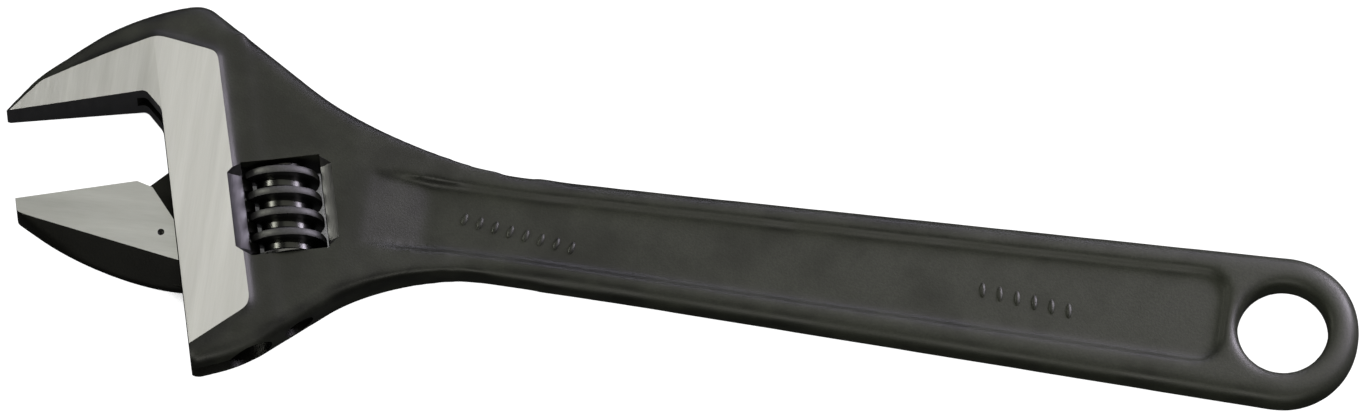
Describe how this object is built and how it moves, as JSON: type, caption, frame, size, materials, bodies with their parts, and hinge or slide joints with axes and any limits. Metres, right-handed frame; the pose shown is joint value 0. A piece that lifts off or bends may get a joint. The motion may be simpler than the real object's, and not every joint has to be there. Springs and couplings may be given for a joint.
{
  "type": "adjustable wrench",
  "caption": "Adjustable wrench with wide-opening tapered jaws, a worm that drives the sliding jaw, and a recessed handle with a hanging hole.",
  "frame": {"origin": "centre of the hanging hole, at mid thickness", "axes": "+X along the handle from the head to the hanging hole's end, +Y across the handle towards the fixed jaw's side, +Z across the thickness"},
  "size_m": [0.2179, 0.0584, 0.012],
  "materials": {
    "forged_steel": "black phosphate over forged steel, with ground faces on the head left bright",
    "ground_steel": "bright ground faces on dark forged steel",
    "worm_steel": "oiled black phosphate",
    "pin_steel": "turned steel",
    "spring_steel": "drawn spring wire"
  },
  "bodies": {
    "wrench_body": {"body": "forged_steel", "worm_pin": "pin_steel", "worm_spring": "spring_steel"},
    "sliding_jaw": {"movable_jaw": "ground_steel"},
    "worm_body": {"worm": "worm_steel"}
  },
  "joints": [
    {"name": "jaw_slide", "type": "slide", "parent": "wrench_body", "child": "sliding_jaw", "axis": [0.2588, -0.9659, 0], "range_m": [-0.0147, 0.0172]},
    {"name": "worm_spin", "type": "hinge", "parent": "wrench_body", "child": "worm_body", "pos_m": [-0.15927, -0.00323, 0], "axis": [0.2588, -0.9659, 0], "range_deg": [-1520, 1777]}
  ],
  "couplings": [
    {"joint": "worm_spin", "follows": "jaw_slide", "rad_per_m": 1795.2}
  ]
}
